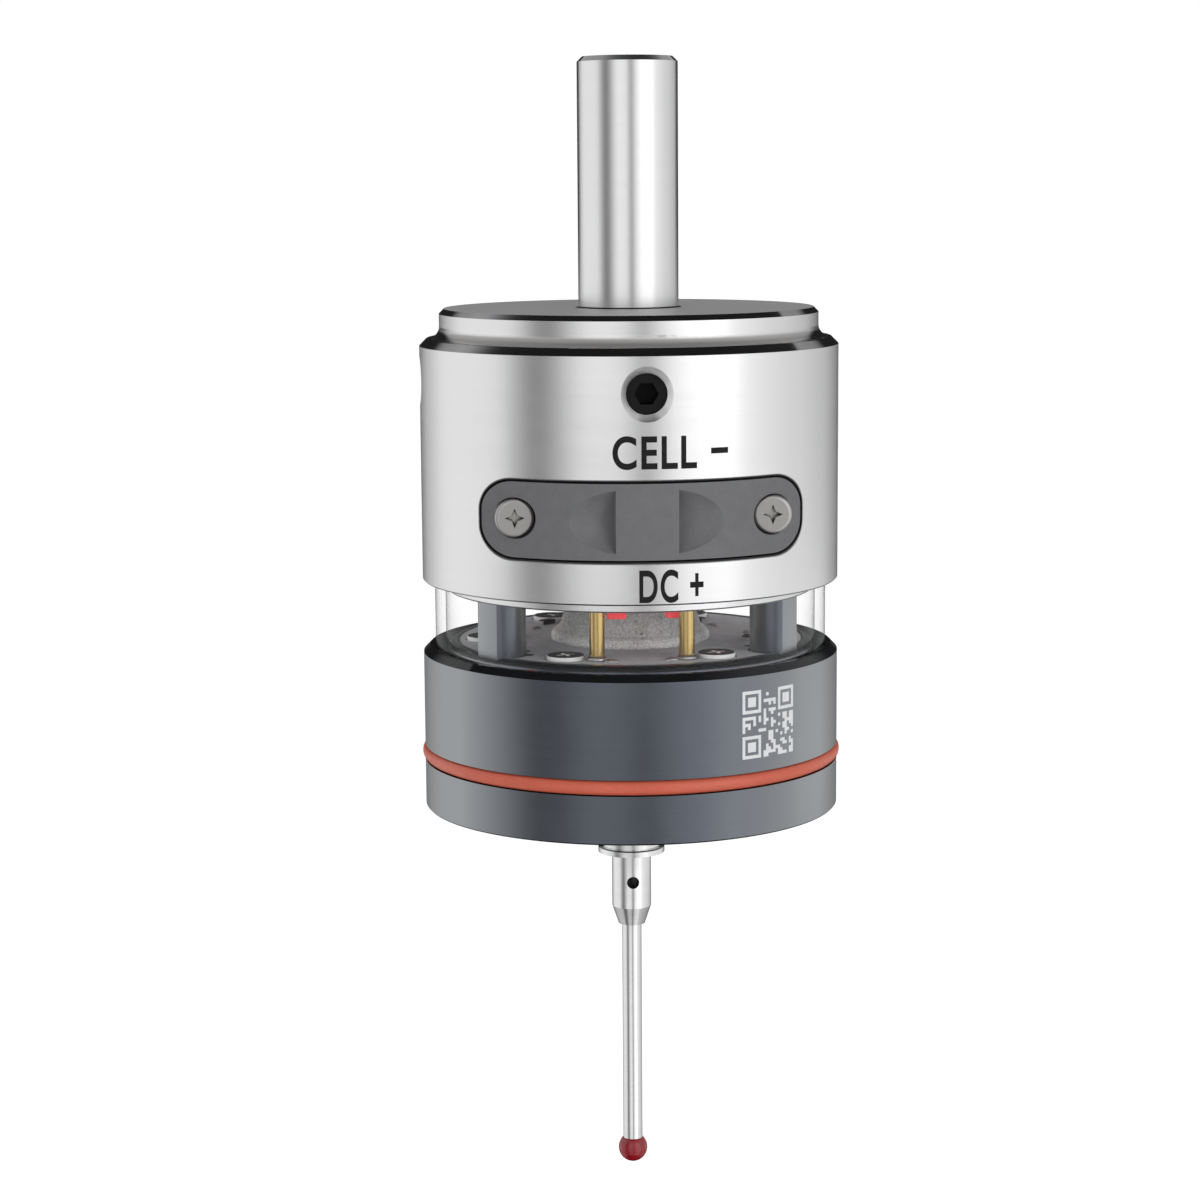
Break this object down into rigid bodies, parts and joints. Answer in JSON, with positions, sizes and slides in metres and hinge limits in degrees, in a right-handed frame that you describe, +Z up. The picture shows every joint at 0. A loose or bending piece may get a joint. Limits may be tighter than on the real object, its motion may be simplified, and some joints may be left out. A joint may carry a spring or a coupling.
{
  "type": "three-dimensional edge finder",
  "caption": "Electronic edge finder with a straight shank, a round body with a clear window ring and battery cover, and a sprung tilting stylus that ends in a ruby ball.",
  "frame": {"origin": "centre of the shoulder, where the straight shank leaves the top disc", "axes": "+Z up the shank, away from the stylus; the battery cover faces -Y; +X to the right of the cover"},
  "size_m": [0.0424, 0.0424, 0.1134],
  "materials": {
    "ground_steel": "ground, fine satin",
    "turned_steel": "fine turned, satin",
    "polished_steel": "polished",
    "stem_steel": "satin",
    "inner_steel": "turned",
    "bearing_steel": "polished",
    "spring_steel": "drawn wire",
    "black_screw": "blackened steel",
    "nickel_screw": "nickel plated",
    "contact_strip": "nickel plated strip",
    "cell_case": "satin",
    "slate_body": "slate grey, anodised, half gloss",
    "cast_cap": "rough, as cast",
    "grey_plastic": "fine texture",
    "black_plastic": "plain",
    "board": "solder mask",
    "clear_window": "clear, polished",
    "brass": "bright",
    "red_lamp": "coloured, clear",
    "red_rubber": "smooth",
    "ruby": "polished, deep red"
  },
  "bodies": {
    "housing": {"base_cap": "slate_body", "base_screws": "black_screw", "battery_cover": "grey_plastic", "battery_holder": "black_plastic", "board_screws": "nickel_screw", "buzzer": "black_plastic", "cell_plate_contact": "contact_strip", "cell_spring_contact": "contact_strip", "clamp_screws": "black_screw", "coin_cell": "cell_case", "contact_pins": "brass", "control_chip": "black_plastic", "cover_screws": "nickel_screw", "lower_board": "board", "lower_housing": "slate_body", "post_screws": "black_screw", "return_spring": "spring_steel", "seal_ring": "red_rubber", "seat_balls": "bearing_steel", "seat_ring": "inner_steel", "shank": "ground_steel", "shank_clamp_plate": "inner_steel", "signal_lamps": "red_lamp", "spring_cap": "cast_cap", "upper_board": "board", "upper_board_screws": "nickel_screw", "upper_housing": "turned_steel", "window_tube": "clear_window"},
    "plunger": {"spring_plunger": "inner_steel"},
    "thrust": {"thrust_ball": "bearing_steel"},
    "stylus": {"spider_hub": "inner_steel", "hub_pins": "bearing_steel", "stylus_carrier": "polished_steel", "stylus_holder": "polished_steel", "stylus_stem": "stem_steel", "ruby_ball": "ruby"},
    "front_set_screw": {"set_screw_front": "black_screw"},
    "right_set_screw": {"set_screw_right": "black_screw"},
    "rear_set_screw": {"set_screw_rear": "black_screw"},
    "left_set_screw": {"set_screw_left": "black_screw"}
  },
  "joints": [
    {"name": "stylus_lift", "type": "slide", "parent": "housing", "child": "plunger", "axis": [0, 0, 1], "range_m": [0, 0.0025], "stiffness_N_per_m": 1000, "springref_m": -0.002, "deforming": ["return_spring"]},
    {"name": "stylus_tilt_x", "type": "hinge", "parent": "plunger", "child": "thrust", "pos_m": [0, 0, -0.0426], "axis": [1, 0, 0], "range_deg": [-5, 5], "stiffness_Nm_per_rad": 0.1},
    {"name": "stylus_tilt_y", "type": "hinge", "parent": "thrust", "child": "stylus", "pos_m": [0, 0, -0.0426], "axis": [0, 1, 0], "range_deg": [-5, 5], "stiffness_Nm_per_rad": 0.1},
    {"name": "front_set_screw_turn", "type": "hinge", "parent": "housing", "child": "front_set_screw", "pos_m": [0, -0.014, -0.0072], "axis": [0, -1, 0], "range_deg": [0, 180]},
    {"name": "right_set_screw_turn", "type": "hinge", "parent": "housing", "child": "right_set_screw", "pos_m": [0.014, 0, -0.0072], "axis": [1, 0, 0], "range_deg": [0, 180]},
    {"name": "rear_set_screw_turn", "type": "hinge", "parent": "housing", "child": "rear_set_screw", "pos_m": [0, 0.014, -0.0072], "axis": [0, 1, 0], "range_deg": [0, 180]},
    {"name": "left_set_screw_turn", "type": "hinge", "parent": "housing", "child": "left_set_screw", "pos_m": [-0.014, 0, -0.0072], "axis": [-1, 0, 0], "range_deg": [0, 180]}
  ]
}
